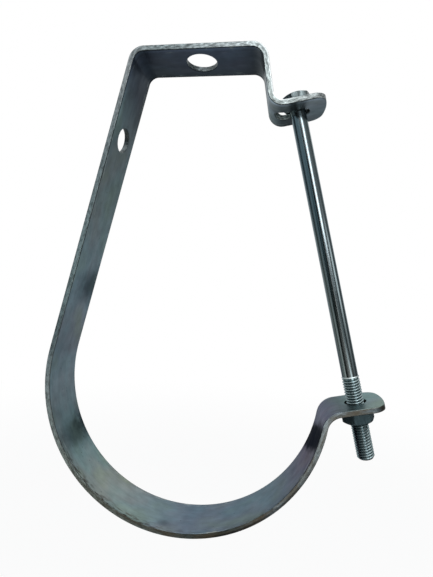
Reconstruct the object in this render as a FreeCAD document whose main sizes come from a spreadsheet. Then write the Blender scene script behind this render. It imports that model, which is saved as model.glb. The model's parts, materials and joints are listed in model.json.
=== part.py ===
import FreeCAD, Part
import math
import os

import Sketcher
from FreeCAD import Placement, Rotation, Vector

# J pipe hanger: one bent flat strap, a long side bolt and its nut. Millimetres.
# The origin is the middle of the rod hole on the plate's top face. +Z is up along
# the hanging rod, +X points to the side bolt and +Y along the pipe.

# Driving sizes, in millimetres and degrees
SIZES = {
    # strap
    "strap_width": 30.0,
    "strap_gauge": 3.2,
    "edge_break": 0.4,
    "cut_over": 2.0,
    # the round that carries the pipe
    "pipe_bore": 162.5,
    "hang_drop": 199.5,
    # top plate and the drop beside it
    "plate_long": 78.2,
    "drop_lean": 10.3,
    "rod_bore": 18.5,
    "left_bend": 6.0,
    "right_bend": 7.0,
    # hole in the leg
    "leg_bore": 14.5,
    "leg_bore_drop": 48.9,
    # upper ear, below the drop
    "drop_long": 34.2,
    "ear_bend": 5.5,
    "top_ear_rise": 11.0,
    # lower ear, beside the round and a little below the pipe's middle
    "neck_bend": 8.8,
    "bolt_dip": 1.3,
    # ear ends, and the hole and slot for the bolt, from the bolt's line
    "top_reach": 16.0,
    "low_reach": 14.8,
    "ear_crown": 45.0,
    "ear_corner": 7.5,
    "bolt_bore": 11.5,
    "slot_wide": 11.0,
    "slot_out": 7.5,
    "slot_in": 10.5,
    # side bolt
    "bolt_tail": 21.0,
    "thread_long": 47.0,
    "thread_dia": 9.8,
    "shank_dia": 9.0,
    "tip_chamfer": 1.1,
    "hex_flats": 16.0,
    "head_high": 6.4,
    "head_turn": 10.0,
    "bearing_dia": 14.6,
    "bearing_high": 0.6,
    # nut
    "nut_high": 8.4,
    "nut_turn": 7.0,
    "nut_mouth": 0.5,
    # corners of head and nut: trimmed by a cone that starts inside the flats
    "corner_trim": 0.4,
    "corner_slope": 30.0,
    # room for the nut beside the round and for the head beside the ear's bend, and fits
    "nut_clear": 6.4,
    "head_clear": 0.2,
    "thread_gap": 0.05,
    "seat_gap": 0.02,
}

CLOSE = 0.001  # millimetres between points that count as one, and the least change of volume
SHARP = 0.3  # radians between two faces that meet at an edge
FIRST_TURN = 10  # degrees, until a rule sets the angle; a turn of zero would lose its axis

doc = FreeCAD.newDocument("j_pipe_hanger")
sheet = doc.addObject("Spreadsheet::Sheet", "sizes")
for row, (name, value) in enumerate(SIZES.items(), start=1):
    sheet.set(f"A{row}", name)
    sheet.set(f"B{row}", str(value))
    sheet.setAlias(f"B{row}", name)
# Sizes that follow from those: angles in degrees, places of the bolt's line on the
# lower ear and on the upper ear's top face, and the bolt's length
DERIVED = {
    "half_plate": "=plate_long / 2",
    "leg_lean": "=90 - atan(half_plate / hang_drop) / 1 deg"
    " - acos((pipe_bore / 2 + strap_gauge) / sqrt(half_plate ^ 2 + hang_drop ^ 2)) / 1 deg",
    "root_reach": "=ear_bend * tan((90 + top_ear_rise - drop_lean) / 2 * 1 deg)"
    " + bearing_dia / 2 + head_clear",
    "top_x": "=half_plate + drop_long * sin(drop_lean * 1 deg) + root_reach * cos(top_ear_rise * 1 deg)",
    "top_z": "=root_reach * sin(top_ear_rise * 1 deg) - drop_long * cos(drop_lean * 1 deg)",
    "low_x": "=pipe_bore / 2 + strap_gauge + hex_flats / sqrt(3) + nut_clear",
    "low_z": "=0 - hang_drop - bolt_dip",
    "bolt_lean": "=atan((low_x - top_x) / (top_z - low_z)) / 1 deg",
    "ear_span": "=sqrt((low_x - top_x) ^ 2 + (top_z - low_z) ^ 2)",
    "head_lift": "=bearing_dia / 2 * tan(abs(bolt_lean - top_ear_rise) * 1 deg) + seat_gap",
    "bolt_long": "=head_lift + ear_span + strap_gauge / 2 + seat_gap + nut_high + bolt_tail",
}
for row, (name, rule) in enumerate(DERIVED.items(), start=len(SIZES) + 2):
    sheet.set(f"A{row}", name)
    sheet.set(f"B{row}", rule)
    sheet.setAlias(f"B{row}", name)
doc.recompute()


def size(name):
    return float(sheet.get(name))


def new_body(name):
    body = doc.addObject("PartDesign::Body", name)
    body.Label = name
    return body


def new_sketch(body, role, name):
    """An empty sketch on one of the body's own planes."""
    plane = next(f for f in body.Origin.OriginFeatures if f.Role == role)
    sketch = body.newObject("Sketcher::SketchObject", name)
    sketch.AttachmentSupport = [(plane, "")]
    sketch.MapMode = "FlatFace"
    return sketch


def bind(sketch, kind, where, rule):
    """A sketch dimension that follows an expression of the sheet."""
    value = sketch.evalExpression(rule)
    number = float(getattr(value, "Value", value))
    if kind == "Angle":
        number = math.radians(number)
    index = sketch.addConstraint(Sketcher.Constraint(kind, *where, number))
    sketch.setExpression(f"Constraints[{index}]", rule)


def finish(body, feature, grows):
    """Recompute, and make sure that the feature added or took material."""
    before = 0.0 if body.Shape.isNull() else body.Shape.Volume
    body.Tip = feature
    doc.recompute()
    change = feature.Shape.Volume - before
    if (change > 0) != grows or abs(change) < CLOSE:
        raise SystemExit(f"{feature.Name} changed the volume by {change:.4f}")
    return feature


def pad(body, sketch, rule, name, both_ways=False):
    feature = body.newObject("PartDesign::Pad", name)
    feature.Profile = sketch
    feature.SideType = "Symmetric" if both_ways else "One side"
    feature.setExpression("Length", rule)
    return finish(body, feature, grows=True)


def pocket(body, sketch, rule, name):
    """Cut both ways from the sketch."""
    feature = body.newObject("PartDesign::Pocket", name)
    feature.Profile = sketch
    feature.SideType = "Symmetric"
    feature.setExpression("Length", rule)
    return finish(body, feature, grows=False)


def unit(angle):
    """Direction in the side view, at an angle in degrees from +X."""
    return Vector(math.cos(math.radians(angle)), math.sin(math.radians(angle)), 0)


def left(way):
    return Vector(-way.y, way.x, 0)


def heading(point):
    return math.atan2(point.y, point.x)


class Outline:
    """Lines and arcs drawn end to end, each made tangent to the one before it."""

    def __init__(self, sketch):
        self.sketch = sketch
        self.ends = []

    def line(self, start, end):
        index = self.sketch.addGeometry(Part.LineSegment(start, end))
        self.ends.append((index, 1, 2))

    def arc(self, centre, radius, start, end, turns_left):
        first, last = (start, end) if turns_left else (end, start)
        low = heading(first - centre)
        high = heading(last - centre)
        if high < low:
            high += 2 * math.pi
        circle = Part.Circle(centre, Vector(0, 0, 1), radius)
        index = self.sketch.addGeometry(Part.ArcOfCircle(circle, low, high))
        self.ends.append((index, 1, 2) if turns_left else (index, 2, 1))

    def smooth(self):
        for (one, _, end), (two, start, _) in zip(self.ends, self.ends[1:]):
            self.sketch.addConstraint(Sketcher.Constraint("Tangent", one, end, two, start))


# Strap: the side view, drawn once as its outer face and once as its inner face
def draw_side(sketch):
    gauge = size("strap_gauge")
    inside = size("pipe_bore") / 2
    pipe = Vector(0, -size("hang_drop"), 0)
    seat = Vector(size("low_x"), size("low_z"), 0)
    top_seat = Vector(size("top_x"), size("top_z"), 0)

    low_way = unit(180 + size("bolt_lean"))
    plate_way = unit(0)
    drop_way = unit(size("drop_lean") - 90)
    top_way = unit(size("top_ear_rise"))
    plate_left = Vector(-size("plate_long") / 2, 0, 0)
    plate_right = Vector(size("plate_long") / 2, 0, 0)

    # neck: rounded between the lower ear and the big round
    neck = size("neck_bend")
    start = seat + left(low_way) * (gauge / 2 + neck) - pipe
    along = start.dot(low_way)
    reach = inside + gauge + neck
    neck_mid = pipe + start - low_way * (along + math.sqrt(along**2 - start.dot(start) + reach**2))
    neck_out = (neck_mid - pipe).normalize()

    # leg: from the plate's left corner down to the big round
    sight = plate_left - pipe
    open_angle = math.degrees(math.acos((inside + gauge) / sight.Length))
    leg_out = unit(math.degrees(heading(sight)) + open_angle)
    leg_way = (plate_left - pipe - leg_out * (inside + gauge)).normalize()

    def bend_mid(corner, way_in, way_out, radius):
        turn = way_in.getAngle(way_out) * (1 if way_in.cross(way_out).z > 0 else -1)
        back = radius * math.tan(abs(turn) / 2)
        return corner - way_in * back + left(way_in) * math.copysign(radius, turn)

    left_mid = bend_mid(plate_left, leg_way, plate_way, size("left_bend") + gauge)
    right_mid = bend_mid(plate_right, plate_way, drop_way, size("right_bend") + gauge)
    ear_root = plate_right + drop_way * size("drop_long")
    ear_mid = bend_mid(ear_root, drop_way, top_way, size("ear_bend"))

    sides = []
    for depth in (0.0, gauge):
        face = Outline(sketch)
        low_line = seat + left(low_way) * (gauge / 2 - depth)
        ear_line = top_seat - left(top_way) * depth
        round_radius = inside + gauge - depth
        convex_left = size("left_bend") + gauge - depth
        convex_right = size("right_bend") + gauge - depth
        concave_neck = neck + depth
        concave_ear = size("ear_bend") + depth
        neck_start = neck_mid - left(low_way) * concave_neck
        neck_end = pipe + neck_out * round_radius
        leg_start = pipe + leg_out * round_radius
        leg_end = left_mid + leg_out * convex_left
        plate_start = left_mid + left(plate_way) * convex_left
        plate_end = right_mid + left(plate_way) * convex_right
        drop_start = right_mid + left(drop_way) * convex_right
        drop_end = ear_mid - left(drop_way) * concave_ear
        ear_start = ear_mid - left(top_way) * concave_ear
        face.line(low_line - low_way * size("low_reach"), neck_start)
        face.arc(neck_mid, concave_neck, neck_start, neck_end, True)
        face.arc(pipe, round_radius, neck_end, leg_start, False)
        face.line(leg_start, leg_end)
        face.arc(left_mid, convex_left, leg_end, plate_start, False)
        face.line(plate_start, plate_end)
        face.arc(right_mid, convex_right, plate_end, drop_start, False)
        face.line(drop_start, drop_end)
        face.arc(ear_mid, concave_ear, drop_end, ear_start, True)
        face.line(ear_start, ear_line + top_way * size("top_reach"))
        sides.append(face)
    outer, inner = sides

    # ends of the two ears, and the bolt's line as a guide
    ends = []
    for here, point in ((0, 1), (-1, 2)):
        one = outer.ends[here][0]
        two = inner.ends[here][0]
        start = sketch.getPoint(one, point)
        end = sketch.getPoint(two, point)
        cap = sketch.addGeometry(Part.LineSegment(start, end))
        sketch.addConstraint(Sketcher.Constraint("Coincident", cap, 1, one, point))
        sketch.addConstraint(Sketcher.Constraint("Coincident", cap, 2, two, point))
        sketch.addConstraint(Sketcher.Constraint("Perpendicular", cap, one))
        sketch.addConstraint(Sketcher.Constraint("Parallel", one, two))
        ends.append(cap)
    bolt = sketch.addGeometry(Part.LineSegment(seat, top_seat), True)
    corners = []
    for corner in (plate_left, plate_right, ear_root):
        corners.append(sketch.addGeometry(Part.Point(corner), True))

    outer.smooth()
    inner.smooth()
    for near, far in zip(outer.ends, inner.ends):
        if near[0] in (outer.ends[k][0] for k in (1, 2, 4, 6, 8)):
            sketch.addConstraint(Sketcher.Constraint("Coincident", near[0], 3, far[0], 3))

    low_ear, neck_arc, big_arc, leg, left_arc, plate, right_arc, drop, ear_arc, top_ear = (
        index for index, _, _ in outer.ends
    )
    sketch.addConstraint(Sketcher.Constraint("PointOnObject", big_arc, 3, -2))
    sketch.addConstraint(Sketcher.Constraint("PointOnObject", corners[0], 1, -1))
    sketch.addConstraint(Sketcher.Constraint("PointOnObject", corners[1], 1, -1))
    sketch.addConstraint(Sketcher.Constraint("PointOnObject", corners[0], 1, leg))
    sketch.addConstraint(Sketcher.Constraint("PointOnObject", corners[1], 1, drop))
    sketch.addConstraint(Sketcher.Constraint("PointOnObject", corners[2], 1, drop))
    sketch.addConstraint(Sketcher.Constraint("PointOnObject", corners[2], 1, top_ear))
    sketch.addConstraint(Sketcher.Constraint("PointOnObject", bolt, 2, top_ear))
    sketch.addConstraint(Sketcher.Constraint("PointOnObject", plate, 1, -1))
    sketch.addConstraint(Sketcher.Constraint("Horizontal", plate))
    sketch.addConstraint(Sketcher.Constraint("Perpendicular", bolt, low_ear))
    inner_index = [index for index, _, _ in inner.ends]
    bind(sketch, "DistanceY", (big_arc, 3, -1, 1), "sizes.hang_drop")
    bind(sketch, "DistanceX", (corners[0], 1, -1, 1), "sizes.half_plate")
    bind(sketch, "DistanceX", (-1, 1, corners[1], 1), "sizes.half_plate")
    bind(sketch, "DistanceX", (-1, 1, bolt, 1), "sizes.low_x")
    bind(sketch, "DistanceY", (bolt, 1, -1, 1), "-sizes.low_z")
    bind(sketch, "Distance", (corners[1], 1, corners[2], 1), "sizes.drop_long")
    bind(sketch, "Distance", (corners[2], 1, bolt, 2), "sizes.root_reach")
    bind(sketch, "Angle", (drop,), "(sizes.drop_lean - 90) * 1 deg")
    bind(sketch, "Angle", (top_ear,), "sizes.top_ear_rise * 1 deg")
    bind(sketch, "Distance", (bolt, 1, low_ear), "sizes.strap_gauge / 2")
    bind(sketch, "Distance", (bolt, 1, ends[0]), "sizes.low_reach")
    bind(sketch, "Distance", (bolt, 2, ends[1]), "sizes.top_reach")
    bind(sketch, "Radius", (neck_arc,), "sizes.neck_bend")
    bind(sketch, "Radius", (big_arc,), "sizes.pipe_bore / 2 + sizes.strap_gauge")
    bind(sketch, "Radius", (left_arc,), "sizes.left_bend + sizes.strap_gauge")
    bind(sketch, "Radius", (right_arc,), "sizes.right_bend + sizes.strap_gauge")
    bind(sketch, "Radius", (ear_arc,), "sizes.ear_bend")
    bind(sketch, "Radius", (inner_index[2],), "sizes.pipe_bore / 2")
    bind(sketch, "Radius", (inner_index[4],), "sizes.left_bend")
    bind(sketch, "Radius", (inner_index[6],), "sizes.right_bend")
    bind(sketch, "Radius", (inner_index[8],), "sizes.ear_bend + sizes.strap_gauge")


strap = new_body("strap")
side = new_sketch(strap, "XZ_Plane", "side_view")
draw_side(side)
doc.recompute()
bent = pad(strap, side, "sizes.strap_width", "bent_strap", both_ways=True)


# Places on the bolt's line, each a rule for X and for Z: middle of the lower ear, and
# the upper ear's top face
LOW_SEAT = ("sizes.low_x", "sizes.low_z")
TOP_SEAT = ("sizes.top_x", "sizes.top_z")


def along_bolt(distance):
    """Rules for the point at a distance up the bolt's line from the lower ear."""
    out = f"sizes.low_x - ({distance}) * sin(sizes.bolt_lean * 1 deg)"
    up = f"sizes.low_z + ({distance}) * cos(sizes.bolt_lean * 1 deg)"
    return out, up


def stand(thing, prop, place, tilt):
    """Put a sketch plane or a body at a point of the side view, leaning by an angle."""
    setattr(thing, prop, Placement(Vector(0, 0, 0), Rotation(Vector(0, -1, 0), FIRST_TURN)))
    thing.setExpression(f"{prop}.Base.x", place[0])
    thing.setExpression(f"{prop}.Base.z", place[1])
    thing.setExpression(f"{prop}.Rotation.Angle", tilt)


def ear_sketch(name, place, tilt):
    sketch = new_sketch(strap, "XY_Plane", name)
    stand(sketch, "AttachmentOffset", place, tilt)
    return sketch


def circle(sketch, rule):
    ring = sketch.addGeometry(Part.Circle(Vector(0, 0, 0), Vector(0, 0, 1), 1.0))
    sketch.addConstraint(Sketcher.Constraint("Coincident", ring, 3, -1, 1))
    bind(sketch, "Diameter", (ring,), rule)


def closed(sketch, lines):
    for one, two in zip(lines, lines[1:] + lines[:1]):
        sketch.addConstraint(Sketcher.Constraint("Coincident", one, 2, two, 1))


# Ear ends: a shallow crown, then rounded corners
def draw_crown(sketch, reach_name):
    crown = size("ear_crown")
    reach = size(reach_name)
    over = size("cut_over")
    half = size("strap_width") / 2 + over
    spread = math.asin(half / crown)
    mid = Vector(reach - crown, 0, 0)
    edge = mid.x + crown * math.cos(spread)
    arc = Part.ArcOfCircle(Part.Circle(mid, Vector(0, 0, 1), crown), -spread, spread)
    tip = sketch.addGeometry(arc)
    far = reach + over
    corners = [Vector(edge, half), Vector(far, half), Vector(far, -half), Vector(edge, -half)]
    lines = []
    for start, end in zip(corners, corners[1:]):
        lines.append(sketch.addGeometry(Part.LineSegment(start, end)))
    closed(sketch, [tip] + lines)
    sketch.addConstraint(Sketcher.Constraint("Horizontal", lines[0]))
    sketch.addConstraint(Sketcher.Constraint("Vertical", lines[1]))
    sketch.addConstraint(Sketcher.Constraint("Horizontal", lines[2]))
    sketch.addConstraint(Sketcher.Constraint("PointOnObject", tip, 3, -1))
    bind(sketch, "Radius", (tip,), "sizes.ear_crown")
    bind(sketch, "DistanceX", (tip, 3, -1, 1), f"sizes.ear_crown - sizes.{reach_name}")
    bind(sketch, "DistanceX", (-1, 1, lines[1], 1), f"sizes.{reach_name} + sizes.cut_over")
    bind(sketch, "DistanceY", (-1, 1, lines[0], 1), "sizes.strap_width / 2 + sizes.cut_over")
    bind(sketch, "DistanceY", (lines[2], 2, -1, 1), "sizes.strap_width / 2 + sizes.cut_over")


# Leans of the two ears, and a cut that clears the strip from either face
LOW_TILT = "sizes.bolt_lean"
TOP_TILT = "sizes.top_ear_rise"
THROUGH = "4 * sizes.strap_gauge"

low_end = ear_sketch("low_ear_end", LOW_SEAT, LOW_TILT)
draw_crown(low_end, "low_reach")
pocket(strap, low_end, THROUGH, "low_ear_crown")
top_end = ear_sketch("top_ear_end", TOP_SEAT, TOP_TILT)
draw_crown(top_end, "top_reach")
crowned = pocket(strap, top_end, THROUGH, "top_ear_crown")


def edges_where(shape, test):
    return [f"Edge{k}" for k, edge in enumerate(shape.Edges, start=1) if test(shape, edge)]


def is_ear_corner(shape, edge):
    """A short edge through the strap's gauge, at its side, where an ear ends."""
    ends = [v.Point for v in edge.Vertexes]
    at_side = all(abs(abs(p.y) - size("strap_width") / 2) < CLOSE for p in ends)
    return at_side and abs(edge.Length - size("strap_gauge")) < CLOSE and edge.CenterOfMass.x > 0


def is_sharp(shape, edge):
    """Two faces that meet at an angle, not one that runs smoothly into the next."""
    faces = shape.ancestorsOfType(edge, Part.Face)
    middle = edge.valueAt((edge.FirstParameter + edge.LastParameter) / 2)
    normals = []
    for face in faces:
        u, v = face.Surface.parameter(middle)
        normals.append(face.normalAt(u, v))
    return len(normals) == 2 and normals[0].getAngle(normals[1]) > SHARP


def dress(body, kind, base, test, prop, rule, name):
    """Round or break the edges that pass a test."""
    feature = body.newObject(kind, name)
    feature.Base = (base, edges_where(base.Shape, test))
    feature.setExpression(prop, rule)
    return finish(body, feature, grows=False)


corners = dress(
    strap, "PartDesign::Fillet", crowned, is_ear_corner, "Radius", "sizes.ear_corner", "ear_corners"
)
dress(strap, "PartDesign::Chamfer", corners, is_sharp, "Size", "sizes.edge_break", "strip_edges")

# Punched holes: rod hole, leg hole, lower bolt hole and upper bolt slot
rod_hole = new_sketch(strap, "XY_Plane", "rod_hole")
circle(rod_hole, "sizes.rod_bore")
pocket(strap, rod_hole, THROUGH, "rod_punch")

leg_hole = new_sketch(strap, "YZ_Plane", "leg_hole")
leg_hole.AttachmentOffset = Placement(Vector(0, 0, 0), Rotation(Vector(1, 0, 0), FIRST_TURN))
leg_hole.setExpression("AttachmentOffset.Base.y", "-sizes.leg_bore_drop")
leg_hole.setExpression(
    "AttachmentOffset.Base.z", "-sizes.half_plate - sizes.leg_bore_drop * tan(sizes.leg_lean * 1 deg)"
)
leg_hole.setExpression("AttachmentOffset.Rotation.Angle", "sizes.leg_lean")
circle(leg_hole, "sizes.leg_bore")
pocket(strap, leg_hole, THROUGH, "leg_punch")

low_hole = ear_sketch("low_bolt_hole", LOW_SEAT, LOW_TILT)
circle(low_hole, "sizes.bolt_bore")
pocket(strap, low_hole, THROUGH, "low_ear_punch")


def draw_slot(sketch):
    half = size("slot_wide") / 2
    far = Vector(size("slot_out") - half, 0)
    near = Vector(half - size("slot_in"), 0)
    up = Vector(0, 0, 1)
    quarter = math.pi / 2
    right = sketch.addGeometry(Part.ArcOfCircle(Part.Circle(far, up, half), -quarter, quarter))
    back = sketch.addGeometry(Part.LineSegment(far + Vector(0, half), near + Vector(0, half)))
    turn = sketch.addGeometry(Part.ArcOfCircle(Part.Circle(near, up, half), quarter, 3 * quarter))
    front = sketch.addGeometry(Part.LineSegment(near - Vector(0, half), far - Vector(0, half)))
    ring = [right, back, turn, front]
    for one, two in zip(ring, ring[1:] + ring[:1]):
        sketch.addConstraint(Sketcher.Constraint("Tangent", one, 2, two, 1))
    sketch.addConstraint(Sketcher.Constraint("PointOnObject", right, 3, -1))
    sketch.addConstraint(Sketcher.Constraint("PointOnObject", turn, 3, -1))
    sketch.addConstraint(Sketcher.Constraint("Horizontal", back))
    bind(sketch, "Radius", (right,), "sizes.slot_wide / 2")
    bind(sketch, "DistanceX", (-1, 1, right, 3), "sizes.slot_out - sizes.slot_wide / 2")
    bind(sketch, "DistanceX", (turn, 3, -1, 1), "sizes.slot_in - sizes.slot_wide / 2")


slot = ear_sketch("top_bolt_slot", TOP_SEAT, TOP_TILT)
draw_slot(slot)
pocket(strap, slot, THROUGH, "top_ear_punch")


# Hexagons of head and nut, with one corner on the sketch's own X
def hexagon(body, name, height, turn):
    sketch = new_sketch(body, "XY_Plane", name)
    sketch.AttachmentOffset = Placement(Vector(0, 0, 0), Rotation(Vector(0, 0, 1), FIRST_TURN))
    sketch.setExpression("AttachmentOffset.Base.z", height)
    sketch.setExpression("AttachmentOffset.Rotation.Angle", turn)
    corner = size("hex_flats") / math.sqrt(3)
    points = [unit(60 * k) * corner for k in range(6)]
    ring = sketch.addGeometry(Part.Circle(Vector(0, 0, 0), Vector(0, 0, 1), corner), True)
    sketch.addConstraint(Sketcher.Constraint("Coincident", ring, 3, -1, 1))
    sides = []
    for start, end in zip(points, points[1:] + points[:1]):
        sides.append(sketch.addGeometry(Part.LineSegment(start, end)))
    closed(sketch, sides)
    for one, two in zip(sides, sides[1:]):
        sketch.addConstraint(Sketcher.Constraint("Equal", one, two))
    for one in sides:
        sketch.addConstraint(Sketcher.Constraint("PointOnObject", one, 1, ring))
    sketch.addConstraint(Sketcher.Constraint("PointOnObject", sides[0], 1, -1))
    bind(sketch, "Radius", (ring,), "sizes.hex_flats / sqrt(3)")
    return sketch


def polygon(sketch, rules):
    """A closed outline whose corners are given by rules for radius and height."""
    number = [tuple(float(getattr(v, "Value", v)) for v in map(sketch.evalExpression, r)) for r in rules]
    lines = []
    for start, end in zip(number, number[1:] + number[:1]):
        lines.append(sketch.addGeometry(Part.LineSegment(Vector(*start), Vector(*end))))
    closed(sketch, lines)
    for line, (out, up), (x, y) in zip(lines, rules, number):
        if out == "0":
            sketch.addConstraint(Sketcher.Constraint("PointOnObject", line, 1, -2))
        else:
            bind(sketch, "DistanceX", (-1, 1, line, 1), out)
        if up == "0":
            sketch.addConstraint(Sketcher.Constraint("PointOnObject", line, 1, -1))
        elif y > 0:
            bind(sketch, "DistanceY", (-1, 1, line, 1), up)
        else:
            bind(sketch, "DistanceY", (line, 1, -1, 1), f"-({up})")


def turned(body, kind, sketch, name, grows):
    feature = body.newObject(kind, name)
    feature.Profile = sketch
    feature.ReferenceAxis = (sketch, ["V_Axis"])
    feature.Angle = 360
    return finish(body, feature, grows)


CORNER_START = "(sizes.hex_flats / 2 - sizes.corner_trim)"
CORNER_END = "(sizes.hex_flats / sqrt(3) + sizes.cut_over)"
CORNER_FALL = f"({CORNER_END} - {CORNER_START}) * tan(sizes.corner_slope * 1 deg)"

# Side bolt: its own frame has the bearing face at 0 and the shank below
side_bolt = new_body("side_bolt")
stand(side_bolt, "Placement", along_bolt("sizes.ear_span + sizes.head_lift"), "sizes.bolt_lean")
bolt_side = new_sketch(side_bolt, "XZ_Plane", "bolt_side")
THREAD = "sizes.thread_dia / 2"
SHANK = "sizes.shank_dia / 2"
THREAD_TOP = "sizes.thread_long - sizes.bolt_long"
polygon(
    bolt_side,
    [
        ("0", "sizes.bearing_high"),
        ("sizes.bearing_dia / 2", "sizes.bearing_high"),
        ("sizes.bearing_dia / 2", "0"),
        (SHANK, "0"),
        (SHANK, f"{THREAD_TOP} + {THREAD} - {SHANK}"),
        (THREAD, THREAD_TOP),
        (THREAD, "sizes.tip_chamfer - sizes.bolt_long"),
        (f"{THREAD} - sizes.tip_chamfer", "-sizes.bolt_long"),
        ("0", "-sizes.bolt_long"),
    ],
)
turned(side_bolt, "PartDesign::Revolution", bolt_side, "shank_and_thread", grows=True)
head_plan = hexagon(side_bolt, "head_plan", "sizes.bearing_high", "sizes.head_turn")
pad(side_bolt, head_plan, "sizes.head_high - sizes.bearing_high", "hex_head")
head_cut = new_sketch(side_bolt, "XZ_Plane", "head_cut")
polygon(
    head_cut,
    [
        (CORNER_START, "sizes.head_high"),
        (CORNER_END, f"sizes.head_high - {CORNER_FALL}"),
        (CORNER_END, "sizes.head_high"),
    ],
)
turned(side_bolt, "PartDesign::Groove", head_cut, "head_corners", grows=False)

# Nut: its own frame has the seat at 0 and the body below
hex_nut = new_body("hex_nut")
stand(hex_nut, "Placement", along_bolt("-sizes.strap_gauge / 2 - sizes.seat_gap"), "sizes.bolt_lean")
nut_plan = hexagon(hex_nut, "nut_plan", "-sizes.nut_high", "sizes.nut_turn")
pad(hex_nut, nut_plan, "sizes.nut_high", "nut_blank")
nut_cut = new_sketch(hex_nut, "XZ_Plane", "nut_cut")
polygon(nut_cut, [(CORNER_START, "0"), (CORNER_END, f"-{CORNER_FALL}"), (CORNER_END, "0")])
polygon(
    nut_cut,
    [
        (CORNER_START, "-sizes.nut_high"),
        (CORNER_END, "-sizes.nut_high"),
        (CORNER_END, f"-sizes.nut_high + {CORNER_FALL}"),
    ],
)
turned(hex_nut, "PartDesign::Groove", nut_cut, "nut_corners", grows=False)
nut_side = new_sketch(hex_nut, "XZ_Plane", "nut_bore_side")
BORE = "(sizes.thread_dia / 2 + sizes.thread_gap)"
polygon(
    nut_side,
    [
        ("0", "0"),
        (f"{BORE} + sizes.nut_mouth", "0"),
        (BORE, "-sizes.nut_mouth"),
        (BORE, "sizes.nut_mouth - sizes.nut_high"),
        (f"{BORE} + sizes.nut_mouth", "-sizes.nut_high"),
        ("0", "-sizes.nut_high"),
    ],
)
turned(hex_nut, "PartDesign::Groove", nut_side, "nut_bore", grows=False)

# Check every feature, then write one file for each piece
doc.recompute()
for thing in doc.Objects:
    if "Invalid" in thing.State or "Error" in thing.State:
        raise SystemExit(f"{thing.Name} failed")
    if thing.TypeId == "Sketcher::SketchObject" and not thing.FullyConstrained:
        raise SystemExit(f"{thing.Name} is loose")
os.makedirs("parts", exist_ok=True)
for piece in (strap, side_bolt, hex_nut):
    if piece.Shape.isNull() or not piece.Shape.isValid() or len(piece.Shape.Solids) != 1:
        raise SystemExit(f"{piece.Label} is not one sound solid")
    piece.Shape.exportStep(f"parts/{piece.Label}.step")
    box = piece.Shape.BoundBox
    print(piece.Label, "volume", round(piece.Shape.Volume, 1), "box", box)
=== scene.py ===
import json
import math

import bmesh
import bpy
from mathutils import Matrix, Vector


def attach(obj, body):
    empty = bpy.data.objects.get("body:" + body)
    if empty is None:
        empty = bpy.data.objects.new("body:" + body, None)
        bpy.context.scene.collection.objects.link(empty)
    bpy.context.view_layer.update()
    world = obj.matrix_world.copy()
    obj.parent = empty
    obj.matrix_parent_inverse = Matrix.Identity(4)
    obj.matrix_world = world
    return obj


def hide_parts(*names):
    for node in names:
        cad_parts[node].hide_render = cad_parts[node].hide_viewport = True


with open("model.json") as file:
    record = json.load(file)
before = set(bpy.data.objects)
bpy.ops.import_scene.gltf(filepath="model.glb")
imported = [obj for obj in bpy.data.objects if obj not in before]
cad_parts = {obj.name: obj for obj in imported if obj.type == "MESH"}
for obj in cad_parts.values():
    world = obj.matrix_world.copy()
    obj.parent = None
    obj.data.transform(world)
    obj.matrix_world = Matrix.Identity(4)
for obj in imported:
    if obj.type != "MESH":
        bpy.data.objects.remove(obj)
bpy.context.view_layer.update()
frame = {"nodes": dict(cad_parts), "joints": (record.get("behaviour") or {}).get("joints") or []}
mm = 0.001
samePlace = 0.001       # points of the blank that are this close, in mm, are one
snap = 0.0001           # a cut or a ring this close to a point, in mm, uses that point
print("frame loaded with", ", ".join(sorted(frame["nodes"])))


def linear(hexText):
    # sRGB hex, as read off a screen, to the linear colour that a shader takes
    parts = [int(hexText[k:k + 2], 16) / 255 for k in (1, 3, 5)]
    return [c / 12.92 if c <= 0.04045 else ((c + 0.055) / 1.055) ** 2.4 for c in parts] + [1.0]


def addNode(tree, kind, settings=None, links=None):
    # one node, its settings (a property by name, a socket by name or number, a ramp's stops as
    # place and colour) and what feeds it
    node = tree.nodes.new(kind)
    for key, value in (settings or {}).items():
        if key == "stops":
            ramp = node.color_ramp.elements
            while len(ramp) < len(value):
                ramp.new(1.0)
            for stop, (place, colour) in zip(ramp, value):
                stop.position = place
                stop.color = linear(colour)
        elif isinstance(key, str) and hasattr(node, key):
            setattr(node, key, value)
        else:
            node.inputs[key].default_value = value
    for key, source in (links or {}).items():
        tree.links.new(source, node.inputs[key])
    return node


def newMaterial(name):
    material = bpy.data.materials.new(name)
    material.use_nodes = True
    material.node_tree.nodes.clear()
    return material, material.node_tree


def addObject(name, data):
    thing = bpy.data.objects.new(name, data)
    bpy.context.scene.collection.objects.link(thing)
    return thing


# Where the bolt stands: the joint's point on the lower ear, and the way up to the head
turnJoint = next(j for j in frame["joints"] if j["name"] == "bolt_turn")
boltSeat = Vector(turnJoint["pos_m"])
boltUp = Vector(turnJoint["axis"]).normalized()
boltLean = math.degrees(math.atan2(-boltUp.x, boltUp.z))


# Strap: cut flat with its holes, rolled edges and all, then bent along its own line
strap = {
    "width": 30.0, "gauge": 3.2, "edgeRound": 0.45, "edgeSteps": 3,
    "pipeBore": 162.5, "hangDrop": 199.5, "neckBend": 8.8,
    "plateLong": 78.2, "leftBend": 6.0, "rightBend": 7.0,
    "dropLean": 10.3, "dropLong": 34.2, "earBend": 5.5, "topEarRise": 11.0,
    "washerAcross": 14.6, "headClear": 0.2,
    "lowReach": 14.8, "topReach": 16.0, "crown": 45.0, "corner": 7.5,
    "rodBore": 18.5, "legBore": 14.5, "legBoreDrop": 48.9, "boltBore": 12.0,
    "slotWide": 10.0, "slotOut": 6.8, "slotIn": 12.9,
    # how fine: mm on straight runs and across, degrees in the bends, the round and flat arcs
    "straightStep": 3.0, "crossStep": 3.0, "bendStep": 5.0, "roundStep": 1.5,
    "holeStep": 5.0, "arcStep": 6.0, "crownStep": 2.0,
    "bulge": 0.72, "bulgePart": 3,      # swell at a bend's edges, in the outer third of each half
}


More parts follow.
